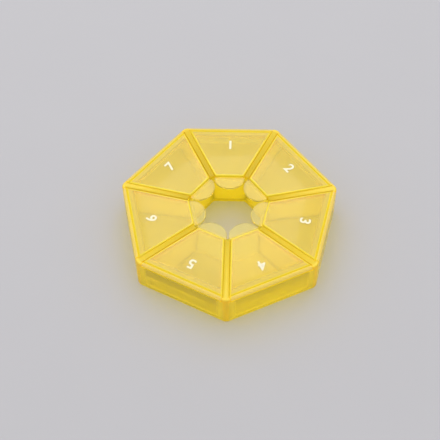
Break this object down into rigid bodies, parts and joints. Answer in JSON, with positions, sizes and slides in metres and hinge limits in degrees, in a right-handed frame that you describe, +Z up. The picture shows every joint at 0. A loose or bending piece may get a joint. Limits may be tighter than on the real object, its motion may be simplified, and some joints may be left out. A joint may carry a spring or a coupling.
{
  "type": "weekly pill organizer",
  "caption": "Heptagonal ring tray of translucent plastic with day compartments round a centre hole, each under its own outward-opening hinged lid with a thumb tab.",
  "frame": {"origin": "middle of the footprint's bounding box, on the face that the tray stands on; the ring's axis is 2.392 mm from it towards +Y", "axes": "+Z up out of the compartments; +Y towards the flat side that carries lid 1; -Y towards a corner of the heptagon"},
  "size_m": [0.1006, 0.0982, 0.0182],
  "materials": {
    "tray_plastic": "translucent yellow polypropylene, semi-gloss",
    "lid_plastic": "translucent yellow polypropylene, semi-gloss, thinner and paler than the tray"
  },
  "bodies": {
    "tray": {"tray": "tray_plastic"},
    "lid_1": {"lid_1": "lid_plastic"},
    "lid_2": {"lid_2": "lid_plastic"},
    "lid_3": {"lid_3": "lid_plastic"},
    "lid_4": {"lid_4": "lid_plastic"},
    "lid_5": {"lid_5": "lid_plastic"},
    "lid_6": {"lid_6": "lid_plastic"},
    "lid_7": {"lid_7": "lid_plastic"}
  },
  "joints": [
    {"name": "lid_1_hinge", "type": "hinge", "parent": "tray", "child": "lid_1", "pos_m": [0, 0.04816, 0.01725], "axis": [-1, 0, 0], "range_deg": [0, 180]},
    {"name": "lid_2_hinge", "type": "hinge", "parent": "tray", "child": "lid_2", "pos_m": [0.03579, 0.03093, 0.01725], "axis": [-0.6235, 0.7818, 0], "range_deg": [0, 180]},
    {"name": "lid_3_hinge", "type": "hinge", "parent": "tray", "child": "lid_3", "pos_m": [0.04462, -0.00779, 0.01725], "axis": [0.2225, 0.9749, 0], "range_deg": [0, 180]},
    {"name": "lid_4_hinge", "type": "hinge", "parent": "tray", "child": "lid_4", "pos_m": [0.01986, -0.03885, 0.01725], "axis": [0.901, 0.4339, 0], "range_deg": [0, 180]},
    {"name": "lid_5_hinge", "type": "hinge", "parent": "tray", "child": "lid_5", "pos_m": [-0.01986, -0.03885, 0.01725], "axis": [0.901, -0.4339, 0], "range_deg": [0, 180]},
    {"name": "lid_6_hinge", "type": "hinge", "parent": "tray", "child": "lid_6", "pos_m": [-0.04462, -0.00779, 0.01725], "axis": [0.2225, -0.9749, 0], "range_deg": [0, 180]},
    {"name": "lid_7_hinge", "type": "hinge", "parent": "tray", "child": "lid_7", "pos_m": [-0.03579, 0.03093, 0.01725], "axis": [-0.6235, -0.7818, 0], "range_deg": [0, 180]}
  ]
}
